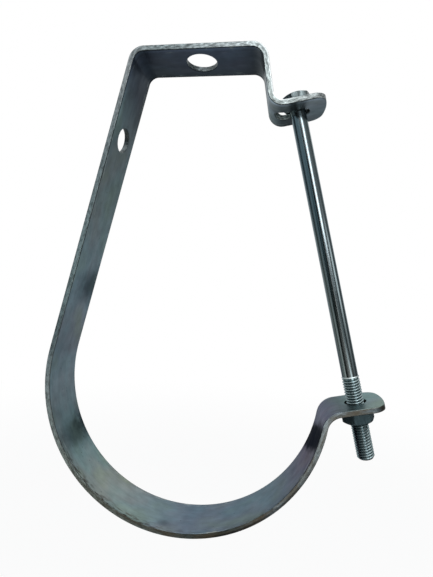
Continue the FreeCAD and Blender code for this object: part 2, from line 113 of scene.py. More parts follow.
def stripRuns(z):
    # (length, radius, turn in degrees) of each run of the strip's middle plane, from the lower
    # ear's end to the upper ear's end; a left turn is positive, and a straight run has no radius
    half = z["gauge"] / 2
    outer = z["pipeBore"] / 2 + z["gauge"]
    lowWay = Vector((-math.cos(math.radians(boltLean)), -math.sin(math.radians(boltLean))))
    pipe = Vector((0, -z["hangDrop"]))
    seat = Vector((boltSeat.x, boltSeat.z)) / mm
    start = seat + Vector((-lowWay.y, lowWay.x)) * (half + z["neckBend"]) - pipe
    along = start.dot(lowWay)
    reach = outer + z["neckBend"]
    toNeck = -along - math.sqrt(along ** 2 - start.length_squared + reach ** 2)
    neckMid = start + lowWay * toNeck
    intoRound = math.degrees(math.atan2(neckMid.y, neckMid.x)) - 90
    sight = Vector((-z["plateLong"] / 2, 0)) - pipe
    legHeading = math.degrees(math.atan2(sight.y, sight.x) + math.acos(outer / sight.length)) - 90
    dropTurn = 90 - z["dropLean"]
    earTurn = dropTurn + z["topEarRise"]
    leftCorner = (z["leftBend"] + z["gauge"]) * math.tan(math.radians(legHeading / 2))
    rightCorner = (z["rightBend"] + z["gauge"]) * math.tan(math.radians(dropTurn / 2))
    earCorner = z["earBend"] * math.tan(math.radians(earTurn / 2))
    legLong = math.sqrt(sight.length_squared - outer ** 2) - leftCorner
    topLong = z["washerAcross"] / 2 + z["headClear"] + z["topReach"]
    return [
        ("lowEar", z["lowReach"] + toNeck, None, 0),
        ("neck", None, z["neckBend"] + half, intoRound + 360 - (180 + boltLean)),
        ("round", None, outer - half, legHeading - (intoRound + 360)),
        ("leg", legLong, None, 0),
        ("leftBend", None, z["leftBend"] + half, -legHeading),
        ("plate", z["plateLong"] - leftCorner - rightCorner, None, 0),
        ("rightBend", None, z["rightBend"] + half, -dropTurn),
        ("drop", z["dropLong"] - rightCorner - earCorner, None, 0),
        ("earBend", None, z["earBend"] + half, earTurn),
        ("topEar", topLong, None, 0),
    ]


def layOut(z):
    # each run with its start: length along the strip, point in the side view and heading
    heading = math.radians(180 + boltLean)
    seat = Vector((boltSeat.x, boltSeat.z)) / mm
    point = seat - Vector((math.cos(heading), math.sin(heading))) * z["lowReach"]
    runs = {}
    start = 0.0
    for name, length, radius, turn in stripRuns(z):
        if radius:
            length = radius * math.radians(abs(turn))
        run = {"start": start, "length": length, "radius": radius, "side": math.copysign(1, turn),
               "point": point.copy(), "heading": heading}
        runs[name] = run
        point = onRun(run, start + length)[0]
        heading += math.radians(turn)
        start += length
    return runs


def onRun(run, s):
    # point of the side view at length s, and the way square to the strip there, to its left
    t = s - run["start"]
    ahead = Vector((math.cos(run["heading"]), math.sin(run["heading"])))
    left = Vector((-ahead.y, ahead.x))
    if not run["radius"]:
        return run["point"] + ahead * t, left
    mid = run["point"] + left * run["radius"] * run["side"]
    swing = t / run["radius"] * run["side"]
    spoke = -left * run["side"]
    spoke.rotate(Matrix.Rotation(swing, 2))
    normal = left.copy()
    normal.rotate(Matrix.Rotation(swing, 2))
    return mid + spoke * run["radius"], normal


def arcPoints(mid, radius, first, last, step):
    count = max(2, math.ceil(abs(last - first) / step))
    angles = [math.radians(first + (last - first) * k / count) for k in range(count + 1)]
    return [Vector((mid[0] + radius * math.cos(a), mid[1] + radius * math.sin(a))) for a in angles]


def flatOutline(z, total):
    # the blank: two crowned ends with rounded corners
    half = z["width"] / 2
    rise = half - z["corner"]
    tilt = math.degrees(math.asin(rise / (z["crown"] - z["corner"])))
    inset = z["crown"] - math.sqrt((z["crown"] - z["corner"]) ** 2 - rise ** 2)
    end = arcPoints((total - inset, -rise), z["corner"], -90, -tilt, z["arcStep"])
    end += arcPoints((total - z["crown"], 0), z["crown"], -tilt, tilt, z["crownStep"])[1:-1]
    end += arcPoints((total - inset, rise), z["corner"], tilt, 90, z["arcStep"])
    begin = [Vector((total - p.x, -p.y)) for p in end]
    return end + begin


def flatHoles(z, runs):
    # outlines of the lower bolt hole, the leg hole, the rod hole and the slot, and their places
    # along the strip
    legLean = math.radians(90 - math.degrees(runs["leg"]["heading"]) % 360)
    corner = (z["leftBend"] + z["gauge"]) * math.tan(math.radians(90 - math.degrees(legLean)) / 2)
    legAt = runs["leftBend"]["start"] + corner - z["legBoreDrop"] / math.cos(legLean)
    rodAt = runs["plate"]["start"] + z["plateLong"] / 2 - corner
    slotAt = runs["topEar"]["start"] + z["washerAcross"] / 2 + z["headClear"]
    outlines = []
    for at, bore in ((z["lowReach"], z["boltBore"]), (legAt, z["legBore"]), (rodAt, z["rodBore"])):
        outlines.append(arcPoints((at, 0), bore / 2, 0, 360, z["holeStep"])[:-1])
    half = z["slotWide"] / 2
    slot = arcPoints((slotAt + z["slotOut"] - half, 0), half, -90, 90, z["arcStep"])
    slot += arcPoints((slotAt - z["slotIn"] + half, 0), half, 90, 270, z["arcStep"])
    return outlines + [slot], [z["lowReach"], legAt, rodAt, slotAt]


def flatBlank(z, runs):
    # a filled 2D curve gives the plate, and its bevel rounds the outline and every hole alike
    total = runs["topEar"]["start"] + runs["topEar"]["length"]
    curve = bpy.data.curves.new("blank", "CURVE")
    curve.dimensions = "2D"
    curve.fill_mode = "BOTH"
    curve.extrude = z["gauge"] / 2 - z["edgeRound"]
    curve.bevel_depth = z["edgeRound"]
    curve.bevel_resolution = z["edgeSteps"]
    curve.offset = -z["edgeRound"]
    holes, places = flatHoles(z, runs)
    for points in [flatOutline(z, total)] + holes:
        spline = curve.splines.new("POLY")
        spline.points.add(len(points) - 1)
        for spot, p in zip(spline.points, points):
            spot.co = (p.x, p.y, 0, 1)
        spline.use_cyclic_u = True
    holder = addObject("blank", curve)
    bpy.context.view_layer.update()
    mesh = bpy.data.meshes.new_from_object(holder.evaluated_get(bpy.context.evaluated_depsgraph_get()))
    bpy.data.objects.remove(holder)
    return mesh, places


def cutAcross(blank, place, normal):
    whole = blank.verts[:] + blank.edges[:] + blank.faces[:]
    bmesh.ops.bisect_plane(blank, geom=whole, plane_co=place, plane_no=normal, dist=snap)


def clearSlants(blank):
    # edges of the fill that run across a cell of the cuts go, so that cells are whole
    slants = []
    for edge in blank.edges:
        a, b = (v.co for v in edge.verts)
        flat = all(abs(face.normal.z) > 0.99 for face in edge.link_faces)       # on the flat faces
        if flat and abs(a.x - b.x) > samePlace and abs(a.y - b.y) > samePlace:
            slants.append(edge)
    bmesh.ops.dissolve_edges(blank, edges=slants, use_verts=True)


def bendStrap(z):
    runs = layOut(z)
    mesh, places = flatBlank(z, runs)
    blank = bmesh.new()
    blank.from_mesh(mesh)
    bmesh.ops.remove_doubles(blank, verts=blank.verts, dist=samePlace)
    rows = round(z["width"] / z["crossStep"])
    for k in range(1, rows):
        cutAcross(blank, (0, z["width"] * (k / rows - 0.5), 0), (0, 1, 0))
    fine = []
    for name, run in runs.items():
        step = z["straightStep"]
        if run["radius"]:
            step = math.radians(z["roundStep"] if name == "round" else z["bendStep"]) * run["radius"]
        count = math.ceil(run["length"] / step)
        fine += [run["start"] + run["length"] * k / count for k in range(1, count)]
        cutAcross(blank, (run["start"], 0, 0), (1, 0, 0))
    for place in places:
        cutAcross(blank, (place, 0, 0), (1, 0, 0))
    clearSlants(blank)
    for s in fine:
        cutAcross(blank, (s, 0, 0), (1, 0, 0))
    print("blank cut:", len(blank.faces), "faces")
    strip = blank.verts.layers.float_vector.new("strip")
    ordered = list(runs.values())
    part = z["bulgePart"]
    for v in blank.verts:
        s, across, out = v.co
        run = next((r for r in ordered if s <= r["start"] + r["length"]), ordered[-1])
        v[strip] = (s, across, out)
        point, normal = onRun(run, s)
        if run["radius"]:
            # the squeezed side of a bend swells a little at the strip's edges
            squeeze = out * run["side"] / run["radius"]
            edge = max(0, abs(across) / (z["width"] / 2) * part - (part - 1))
            ease = math.sin(math.pi * (s - run["start"]) / run["length"])
            across += math.copysign(z["bulge"] * edge * ease * squeeze, across)
        point += normal * out
        v.co = Vector((point.x, across, point.y)) * mm
    blank.to_mesh(mesh)
    blank.free()
    mesh.name = "bentStrap"
    return mesh, runs


def smoothPiece(name, mesh, sharpAngle=None):
    piece = addObject(name, mesh)
    mesh.shade_smooth()
    if sharpAngle:
        mesh.set_sharp_from_angle(angle=math.radians(sharpAngle))
    even = piece.modifiers.new("evenNormals", "WEIGHTED_NORMAL")
    even.keep_sharp = bool(sharpAngle)
    return piece


strapMesh, stripRun = bendStrap(strap)
bentStrap = smoothPiece("bentStrap", strapMesh)
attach(bentStrap, "hanger")
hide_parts("strap")
print("strap bent:", {k: round(v["start"], 2) for k, v in stripRun.items()})


# Bolt and nut: rings of points about the bolt's own line, joined one to the next
bolt = {
    "flats": 16.0, "headHigh": 6.4, "cornerTrim": 1.1, "cornerSlope": 30.0, "headTurn": 10.0,
    "washerAcross": 15.8, "washerHigh": 0.6, "neckFillet": 0.5, "filletSteps": 4,
    "shankAcross": 9.0, "threadAcross": 9.8, "rootAcross": 8.2, "pitch": 1.5, "threadLong": 47.0,
    "tipChamfer": 1.1, "runOut": 2.2, "columns": 96, "sharpAngle": 35,
    # one turn of the thread: (share of the pitch, diameter it is set from, mm outwards from that)
    "profile": (
        (0.0, "threadAcross", -0.13), (0.04, "threadAcross", -0.045), (0.07, "threadAcross", -0.01),
        (0.12, "threadAcross", -0.012), (0.20, "threadAcross", -0.045), (0.27, "threadAcross", -0.13),
        (0.46, "rootAcross", 0.12), (0.53, "rootAcross", 0.05), (0.63, "rootAcross", 0.0),
        (0.70, "rootAcross", 0.02), (0.76, "rootAcross", 0.10)),
    # the shoulder over the thread: mm under the crest; where it starts, ends and meets the shank
    "shoulderUnder": 0.02, "shoulderUp": (0.02, 0.12, 0.55),
}
nut = {"high": 8.4, "turn": 7.0, "mouth": 0.5, "gap": 0.05, "edgeRound": 0.22, "edgeSteps": 2,
       "edgeAngle": 25}


def reachOf(node):
    # a solid's lowest and highest point along the bolt's line, in mm from where the bolt is seated
    heights = [(v.co - boltSeat).dot(boltUp) / mm for v in frame["nodes"][node].data.vertices]
    return min(heights), max(heights)


boltTip, headTop = reachOf("side_bolt")
nutTop = reachOf("hex_nut")[1]
threadEnd = boltTip + bolt["threadLong"]
headStart = headTop - bolt["headHigh"]
print("bolt reaches", round(headTop, 3), round(boltTip, 3), "nut top", round(nutTop, 3))


def hexReach(angle, flats):
    # distance from the middle to the hexagon's side in that direction; a corner is at angle 0
    fromFlat = (math.degrees(angle) % 60) - 30
    return flats / 2 / math.cos(math.radians(fromFlat))


def roundRing(angles, radius, height):
    return [Vector((radius * math.cos(a), radius * math.sin(a), height)) for a in angles]


def hexRing(z, angles, turn, level, way):
    # the hexagon's outline at that level; a cone trims its corners down (way -1) or up (way 1)
    coneStart = z["flats"] / 2 - z["cornerTrim"]
    fall = math.tan(math.radians(z["cornerSlope"])) * way
    points = []
    for a in angles:
        reach = hexReach(a - math.radians(turn), z["flats"])
        height = level + max(0, reach - coneStart) * fall
        points.append(Vector((reach * math.cos(a), reach * math.sin(a), height)))
    return points


def threadRings(z, angles):
    # rings that follow the helix, so that crest and root are clean lines; the thread runs out into
    # the shank at its top, and the tip is chamfered
    shank = z["shankAcross"] / 2
    tipRadius = z["threadAcross"] / 2 - z["tipChamfer"]
    turns = math.ceil((threadEnd - boltTip) / z["pitch"]) + 2
    rings = []
    for turn in range(turns):
        for part, diameter, out in z["profile"]:
            points = []
            for k, a in enumerate(angles):
                height = boltTip + z["pitch"] * (turn - 1 + part + k / len(angles))
                height = min(max(height, boltTip), threadEnd)
                fade = min(1, (threadEnd - height) / z["runOut"])
                radius = shank + (z[diameter] / 2 + out - shank) * fade
                radius = min(radius, tipRadius + (height - boltTip))
                points.append(Vector((radius * math.cos(a), radius * math.sin(a), height)))
            rings.append(points)
    return rings


def joinRings(name, rings, closed=False, helical=0, perTurn=0):
    # rings run from the bottom up; a closed shape gets a point in the middle of both ends; the
    # first rings may be helical, and then each one's last point goes on to the ring one turn up
    shape = bmesh.new()
    rows = [[shape.verts.new(p) for p in points] for points in rings]
    for r in range(len(rows) - 1):
        low, high = rows[r], rows[r + 1]
        last = len(low) - 1
        for k in range(last):
            shape.faces.new((low[k], low[k + 1], high[k + 1], high[k]))
        nextLow, nextHigh = low, high
        if r < helical - 1:
            nextLow, nextHigh = (rows[min(r + perTurn + up, helical - 1)] for up in (0, 1))
        corners = (low[last], nextLow[0], nextHigh[0], high[last])
        shape.faces.new(corners if nextLow is not nextHigh else (low[last], nextLow[0], high[last]))
    for row, flip in ((rows[0], True), (rows[-1], False)) if closed else ():
        middle = shape.verts.new(Vector((0, 0, row[0].co.z)))
        for k in range(len(row)):
            pair = (row[k], row[(k + 1) % len(row)])
            shape.faces.new((*(reversed(pair) if flip else pair), middle))
    bmesh.ops.remove_doubles(shape, verts=shape.verts, dist=snap)
    mesh = bpy.data.meshes.new(name)
    shape.to_mesh(mesh)
    shape.free()
    return mesh


def boltMesh(z):
    angles = [2 * math.pi * k / z["columns"] for k in range(z["columns"])]
    shank, washer = z["shankAcross"] / 2, z["washerAcross"] / 2
    collar = z["threadAcross"] / 2 - z["shoulderUnder"]
    thread = threadRings(z, angles)
    # (radius, height) of the round part: shoulder, shank, fillet and washer face
    outline = [(radius, threadEnd + up) for radius, up in zip((collar, collar, shank), z["shoulderUp"])]
    outline.append((shank, headStart - z["neckFillet"]))
    for k in range(1, z["filletSteps"] + 1):
        bend = math.radians(90 * k / z["filletSteps"])
        outline.append((shank + z["neckFillet"] * (1 - math.cos(bend)),
                        headStart - z["neckFillet"] * (1 - math.sin(bend))))
    hexLow = headStart + z["washerHigh"]
    outline += [(washer, headStart), (washer, hexLow)]
    rings = thread + [roundRing(angles, radius, height) for radius, height in outline]
    rings.append(hexRing(z, angles, z["headTurn"], hexLow, 0))
    rings.append(hexRing(z, angles, z["headTurn"], headTop, -1))
    rings.append(roundRing(angles, z["flats"] / 2 - z["cornerTrim"], headTop))
    return joinRings("threadedBolt", rings, True, len(thread), len(z["profile"]))


def nutMesh(z, n):
    angles = [2 * math.pi * k / z["columns"] for k in range(z["columns"])]
    coneStart = z["flats"] / 2 - z["cornerTrim"]
    bore = z["threadAcross"] / 2 + n["gap"]
    low = nutTop - n["high"]
    return joinRings("hexNut", [
        roundRing(angles, bore, nutTop - n["mouth"]),
        roundRing(angles, bore, low + n["mouth"]),
        roundRing(angles, bore + n["mouth"], low),
        roundRing(angles, coneStart, low),
        hexRing(z, angles, n["turn"], low, 1),
        hexRing(z, angles, n["turn"], nutTop, -1),
        roundRing(angles, coneStart, nutTop),
        roundRing(angles, bore + n["mouth"], nutTop),
        roundRing(angles, bore, nutTop - n["mouth"]),
    ])


def onBolt(mesh):
    # from the bolt's own line to its place on the hanger; the finish follows the first
    turned = mesh.attributes.new("turned", "FLOAT_VECTOR", "POINT")
    for spot, v in zip(turned.data, mesh.vertices):
        spot.vector = v.co
    stand = Matrix.Rotation(math.radians(-boltLean), 4, "Y")
    mesh.transform(Matrix.Translation(boltSeat) @ stand @ Matrix.Scale(mm, 4))
    return mesh


threadedBolt = smoothPiece("threadedBolt", onBolt(boltMesh(bolt)), bolt["sharpAngle"])
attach(threadedBolt, "bolt")
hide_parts("side_bolt")
hexNut = smoothPiece("hexNut", onBolt(nutMesh(bolt, nut)), bolt["sharpAngle"])
soften = hexNut.modifiers.new("edges", "BEVEL")
soften.width = nut["edgeRound"] * mm
soften.segments = nut["edgeSteps"]
soften.limit_method = "ANGLE"
soften.angle_limit = math.radians(nut["edgeAngle"])
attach(hexNut, "nut")
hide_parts("hex_nut")
print("bolt and nut made:", len(threadedBolt.data.polygons), len(hexNut.data.polygons))


# Finishes: electroplated zinc with a clear blue passivation, on three kinds of steel surface
def readTables(tree, place, value, z):
    # what a finish is made of, by name: soft patches of a size in mm, from 0 to 1; then what a
    # patch or a place on the piece comes to between two ends; then such values multiplied
    for name, (*size, detail) in z["patterns"].items():
        scaled = addNode(tree, "ShaderNodeVectorMath", {"operation": "DIVIDE", 1: size}, {0: place})
        value[name] = addNode(tree, "ShaderNodeTexNoise", {"Scale": 1.0, "Detail": detail},
                              {"Vector": scaled.outputs[0]}).outputs["Fac"]
    for blend, table in (("LINEAR", z["ranges"]), ("SMOOTHSTEP", z.get("fades", {}))):
        for name, (source, start, end, first, last) in table.items():
            value[name] = addNode(tree, "ShaderNodeMapRange", {
                "interpolation_type": blend, "From Min": start, "From Max": end,
                "To Min": first, "To Max": last}, {"Value": value[source]}).outputs[0]
    for name, (first, *others) in z.get("products", {}).items():
        value[name] = value[first]
        for other in others:
            value[name] = addNode(tree, "ShaderNodeMath", {"operation": "MULTIPLY"},
                                  {0: value[name], 1: value[other]}).outputs[0]


stripFinish = {
    "tints": ((0.34, "#f2fcf4"), (0.46, "#eef8ff"), (0.57, "#f9f3fa"), (0.68, "#fffaee")),
    # tones by mm along the strip; the dark run from 448 to 571 mm, at the top of the leg, under the top
    # plate and in its bends, is painted shade, partly also the darker thin plating of inner corners
    "along": (
        (0, "#869e9a"), (14, "#7c9492"), (24, "#4e6062"), (34, "#726e84"), (60, "#665a72"),
        (100, "#7a8c94"), (150, "#6c7c88"), (208, "#96a29a"), (228, "#92a4a0"), (262, "#7c8e90"),
        (300, "#a8b4b8"), (345, "#86969c"), (400, "#788482"), (448, "#5e6c6e"), (468, "#303a46"),
        (486, "#2a3440"), (505, "#424c58"), (545, "#4e5664"), (560, "#30363c"), (571, "#30363c"),
        (584, "#7c888c")),
    # the sheared faces by the same length, painted lighter round the left of the round (205 to 345 mm)
    # and darker at the bottom (125 mm) as painted light and shade
    "cutAlong": (
        (0, "#8a969c"), (16, "#767f85"), (36, "#b2bec4"), (70, "#b4c4cc"), (100, "#848c90"),
        (125, "#445250"), (150, "#687474"), (205, "#ccd8d2"), (285, "#e0ecee"), (310, "#a8b8bc"),
        (345, "#c4d6d6"), (420, "#909c9e"), (480, "#949a9c"), (502, "#869294"), (545, "#a6aeb0"),
        (590, "#bcc6c4"), (640, "#929696")),
    # soft dark patches of painted shadow and dark reflection: (mm along, mm across, size along,
    # size across, depth, where its full tone starts, how far it slants for each mm across, tone)
    "paintedDarkPatches": (
        (250, 17, 13, 17, 0.8, 0.15, 0, "#1e262d"), (246, 2, 13, 26, 0.6, 0.15, 0, "#1e262d"),
        (345, 10, 16, 24, 0.62, 0.15, 0, "#1e2630"), (49, 2, 11, 40, 1.0, 0.5, 0.32, "#171d2e"),
        (163, -9, 6, 4, 0.35, 0.15, 0, "#1e262d"), (601, 2, 11, 40, 0.68, 0.15, 0, "#1e262d")),
    "markGlance": 0.45,         # what is left of the bright glancing look on a mark
    "scuffTone": "#aab2ae", "fleckTone": "#3a322a", "pitTone": "#2e3233", "lowBrownTone": "#6c6252",
    "paintedShadeTone": "#0c0c0b", "highlightTone": "#f6fafa",
    "pitSize": 2.4, "pitDark": 0.45, "cutRoughness": 0.46,
    # size in mm along, across and through the strip, and detail
    "patterns": {
        "tint": (38, 26, 26, 3), "mottle": (6.5, 4.6, 4.6, 4), "roll": (30, 1.3, 1.3, 3),
        "ragged": (5, 5, 5, 3), "streaks": (7, 1.1, 1.1, 5), "specks": (4.2, 1.3, 1.3, 4),
        "tear": (2.6, 1.2, 1.0, 5), "grain": (2.2, 1.2, 0.8, 5), "brownNoise": (14, 3, 3, 3),
        "haze": (9, 4, 4, 4), "wave": (38, 17, 17, 1)},
    # (pattern or place, its first and its last value, what these come to); side and depth are the
    # mm from the strip's middle to its edges and to its faces, out is the mm towards the outside,
    # and cell is a chance from 0 to 1 for each pit
    "ranges": {
        "clouds": ("mottle", 0.3, 0.7, 0.86, 1.12), "rolled": ("roll", 0.3, 0.7, 0.95, 1.05),
        "uneven": ("ragged", 0, 1, -0.3, 0.3), "rough": ("haze", 0.3, 0.7, 0.30, 0.46),
        "paintedBackShade": ("across", 13.4, 14.5, 0, -0.5), "paintedCrossShade": ("across", -15, 15, 0.4, -0.42),
        "nearEdge": ("side", 9.5, 14.6, 0, 1), "rub": ("streaks", 0.60, 0.70, 0, 1),
        "fleck": ("specks", 0.50, 0.58, 0.2, 0.95), "forward": ("across", 4, -4, 0.35, 1),
        "pitReach": ("cell", 0.8, 1.0, 0, 0.2),
        "cut": ("depth", 1.52, 1.25, 0, 1), "rolledOver": ("depth", 1.6, 1.5, 0, 1),
        "tornLevel": ("tear", 0.44, 0.62, 1, 0.55), "spark": ("grain", 0.35, 0.65, -0.5, 0.55),
        "holeWall": ("side", 14.2, 13.4, 0, 1), "paintedHoleLight": ("along", 592, 594, 0.45, 1.3),
        "outerThird": ("out", -0.3, 0.5, 0, 0.6), "soil": ("brownNoise", 0.35, 0.6, 0, 1),
        "turnOver": ("depth", 1.15, 1.4, 0, 1), "rim": ("side", 14.3, 14.6, 0, 1),
        "outside": ("out", 0.7, 1.1, 0, 1),
        "dropStart": ("along", 552, 566, 0, 0.9), "dropEnd": ("along", 606, 596, 0, 1)},
    # the same with soft ends
    "fades": {
        "topCorner": ("along", 436, 462, 0, 1), "paintedFrontLight": ("across", -11, -14.4, 0, 1),
        "lowest": ("along", 262, 225, 0, 1), "risen": ("along", 150, 185, 0.35, 1),
        "glitter": ("along", 430, 520, 0.25, 1), "lowPart": ("along", 260, 200, 0, 0.75),
        "rightArc": ("along", 35, 80, 0, 1), "bottom": ("along", 160, 115, 0, 1),
        "legPart": ("along", 145, 185, 0, 0.6)},
    # values of the two tables above, multiplied
    "products": {
        "level": ("clouds", "rolled"), "scuff": ("nearEdge", "rub"),
        "flecks": ("lowest", "fleck", "nearEdge", "forward", "risen"),
        "lowBrown": ("lowPart", "soil"), "paintedUnderShade": ("outerThird", "rightArc", "bottom"),
        "paintedShadeLine": ("turnOver", "rim", "legPart"),
        "paintedHighlightLine": ("outside", "rim", "dropStart", "dropEnd"),
        "tornHeight": ("tear", "cut", "glitter")},
    # relief: (what, strength, mm high, whether it is sunk)
    "relief": (
        ("wave", 1.0, 0.22, False), ("roll", 0.3, 0.01, False), ("pit", 0.6, 0.05, True),
        ("tornHeight", 0.7, 0.10, False)),
}


def zincPlatedStrip(z, total):
    # rolled strip: satin, streaked along its length, cloudy where the passivation is thicker;
    # the sheared edges are brighter and rougher, and the hole walls rougher, with painted shade in the
    # round holes and a painted lighter wall in the slot
    material, tree = newMaterial("zincPlatedStrip")
    place = addNode(tree, "ShaderNodeAttribute", {"attribute_name": "strip"}).outputs["Vector"]
    axes = addNode(tree, "ShaderNodeSeparateXYZ", links={0: place})
    value = dict(zip(("along", "across", "out"), axes.outputs))
    for name, source in (("side", "across"), ("depth", "out")):
        value[name] = addNode(tree, "ShaderNodeMath", {"operation": "ABSOLUTE"},
                              {0: value[source]}).outputs[0]
    scaled = addNode(tree, "ShaderNodeVectorMath", {"operation": "DIVIDE", 1: (z["pitSize"],) * 3},
                     {0: place})
    cells = addNode(tree, "ShaderNodeTexVoronoi", {"Scale": 1.0}, {"Vector": scaled.outputs[0]})
    value["cell"] = addNode(tree, "ShaderNodeSeparateColor", links={0: cells.outputs["Color"]}).outputs[0]
    readTables(tree, place, value, z)

    tint = addNode(tree, "ShaderNodeValToRGB", {"stops": z["tints"]}, {0: value["tint"]}).outputs[0]
    share = addNode(tree, "ShaderNodeMath", {"operation": "DIVIDE", 1: total},
                    {0: value["along"]}).outputs[0]
    tone, sheared = (addNode(tree, "ShaderNodeValToRGB", {"stops": [(s / total, c) for s, c in z[tones]]},
                             {0: share}).outputs[0] for tones in ("along", "cutAlong"))
    face = addNode(tree, "ShaderNodeMix", {"data_type": "RGBA", "blend_type": "MULTIPLY", 0: 1.0},
                   {6: tint, 7: tone}).outputs[2]
    face = addNode(tree, "ShaderNodeVectorMath", {"operation": "SCALE"},
                   {0: face, "Scale": value["level"]}).outputs[0]

    # the painted dark patches keep their tone at a glancing look too, so the edge tint goes down with them
    unmarked = []
    for at, acrossAt, longSize, wideSize, strength, core, slant, markTone in z["paintedDarkPatches"]:
        straight = addNode(tree, "ShaderNodeMath", {"operation": "MULTIPLY_ADD", 1: -slant},
                           {0: value["across"], 2: value["along"]}).outputs[0]
        off = addNode(tree, "ShaderNodeCombineXYZ", links={0: straight, 1: value["across"]}).outputs[0]
        for step, amount in (("SUBTRACT", (at, acrossAt, 0)), ("DIVIDE", (longSize, wideSize, 1))):
            off = addNode(tree, "ShaderNodeVectorMath", {"operation": step, 1: amount}, {0: off}).outputs[0]
        far = addNode(tree, "ShaderNodeVectorMath", {"operation": "LENGTH"}, {0: off}).outputs["Value"]
        far = addNode(tree, "ShaderNodeMath", {"operation": "ADD"}, {0: far, 1: value["uneven"]}).outputs[0]
        mark = addNode(tree, "ShaderNodeMapRange", {
            "interpolation_type": "SMOOTHSTEP", "From Min": 1.0, "From Max": core, "To Max": strength},
            {"Value": far}).outputs[0]
        face = addNode(tree, "ShaderNodeMix", {"data_type": "RGBA", 7: linear(markTone)},
                       {0: mark, 6: face}).outputs[2]
        left = addNode(tree, "ShaderNodeMath", {"operation": "SUBTRACT", 0: 1.0}, {1: mark})
        unmarked.append(left.outputs[0])
    clean = unmarked[0]
    for left in unmarked[1:]:
        clean = addNode(tree, "ShaderNodeMath", {"operation": "MULTIPLY"}, {0: left, 1: clean}).outputs[0]
    dull = (z["markGlance"],) * 3 + (1,)
    grazing = addNode(tree, "ShaderNodeMix", {"data_type": "RGBA", 6: dull, 7: (1, 1, 1, 1)},
                      {0: clean}).outputs[2]

    # painted light from the top of the leg on: the faces lighter at the front edge and darker at the
    # back, in a slope across the width
    paintedTopLight = value["paintedFrontLight"]
    for other in ("paintedBackShade", "paintedCrossShade"):
        paintedTopLight = addNode(tree, "ShaderNodeMath", {"operation": "ADD"},
                        {0: paintedTopLight, 1: value[other]}).outputs[0]
    paintedTopLight = addNode(tree, "ShaderNodeMath", {"operation": "MULTIPLY_ADD", 2: 1.0},
                    {0: paintedTopLight, 1: value["topCorner"]}).outputs[0]
    face = addNode(tree, "ShaderNodeVectorMath", {"operation": "SCALE"},
                   {0: face, "Scale": paintedTopLight}).outputs[0]

    # light scuffs along the edges, where the strip rubs; brown specks on the lowest part, near its
    # edges, most of them at the front and fewest at the very bottom; sparse dark pits
    pit = addNode(tree, "ShaderNodeMath", {"operation": "LESS_THAN"},
                  {0: cells.outputs["Distance"], 1: value["pitReach"]}).outputs[0]
    value["pit"] = pit
    pitDark = addNode(tree, "ShaderNodeMath", {"operation": "MULTIPLY", 1: z["pitDark"]},
                      {0: pit}).outputs[0]
    for tone, mask in (("scuffTone", value["scuff"]), ("fleckTone", value["flecks"]), ("pitTone", pitDark)):
        face = addNode(tree, "ShaderNodeMix", {"data_type": "RGBA", 7: linear(z[tone])},
                       {0: mask, 6: face}).outputs[2]

    # sheared faces and hole walls: smeared along the cut, darker where the steel tore, painted shade in
    # the round holes and painted lighter in the slot, brown in patches low down, and painted shade,
    # nearly black, on the outer side of the edge to the right of the bottom
    spark = addNode(tree, "ShaderNodeMath", {"operation": "MULTIPLY_ADD", 2: 1.0},
                    {0: value["spark"], 1: value["glitter"]}).outputs[0]
    # painted shade darkens the round hole walls, and the slot's walls are painted lighter
    holeLight = addNode(tree, "ShaderNodeMix", {"data_type": "FLOAT", 2: 1.0},
                     {0: value["holeWall"], 3: value["paintedHoleLight"]}).outputs[0]
    for level in (spark, value["tornLevel"], holeLight):
        sheared = addNode(tree, "ShaderNodeVectorMath", {"operation": "SCALE"},
                          {0: sheared, "Scale": level}).outputs[0]
    for tone, mask in (("lowBrownTone", "lowBrown"), ("paintedShadeTone", "paintedUnderShade")):
        sheared = addNode(tree, "ShaderNodeMix", {"data_type": "RGBA", 7: linear(z[tone])},
                          {0: value[mask], 6: sheared}).outputs[2]
    colour = addNode(tree, "ShaderNodeMix", {"data_type": "RGBA"},
                     {0: value["cut"], 6: face, 7: sheared}).outputs[2]

    # painted shade: a dark line where the sheared edge turns over, along the leg and the left of the
    # round; and a painted highlight, a bright line down the outer side of the short drop
    keep = addNode(tree, "ShaderNodeMath", {"operation": "SUBTRACT", 0: 1.0},
                   {1: value["paintedShadeLine"]}).outputs[0]
    colour = addNode(tree, "ShaderNodeVectorMath", {"operation": "SCALE"},
                     {0: colour, "Scale": keep}).outputs[0]
    # painted highlight: a near-white line down the outer side of the short drop
    colour = addNode(tree, "ShaderNodeMix", {"data_type": "RGBA", 7: linear(z["highlightTone"])},
                     {0: value["paintedHighlightLine"], 6: colour}).outputs[2]
    rough = addNode(tree, "ShaderNodeMix", {"data_type": "FLOAT", 3: z["cutRoughness"]},
                    {0: value["rolledOver"], 2: value["rough"]}).outputs[0]

    # slow waves of the bar, rolling lines, pits and the torn edge
    normal = {}
    for name, strength, high, sunk in z["relief"]:
        relief = addNode(tree, "ShaderNodeBump",
                         {"Strength": strength, "Distance": high * mm, "invert": sunk},
                         {"Height": value[name], **normal})
        normal = {"Normal": relief.outputs[0]}
    shader = addNode(tree, "ShaderNodeBsdfPrincipled", {"Metallic": 1.0},
                     {"Base Color": colour, "Specular Tint": grazing, "Roughness": rough, **normal})
    addNode(tree, "ShaderNodeOutputMaterial", links={"Surface": shader.outputs[0]})
    return material


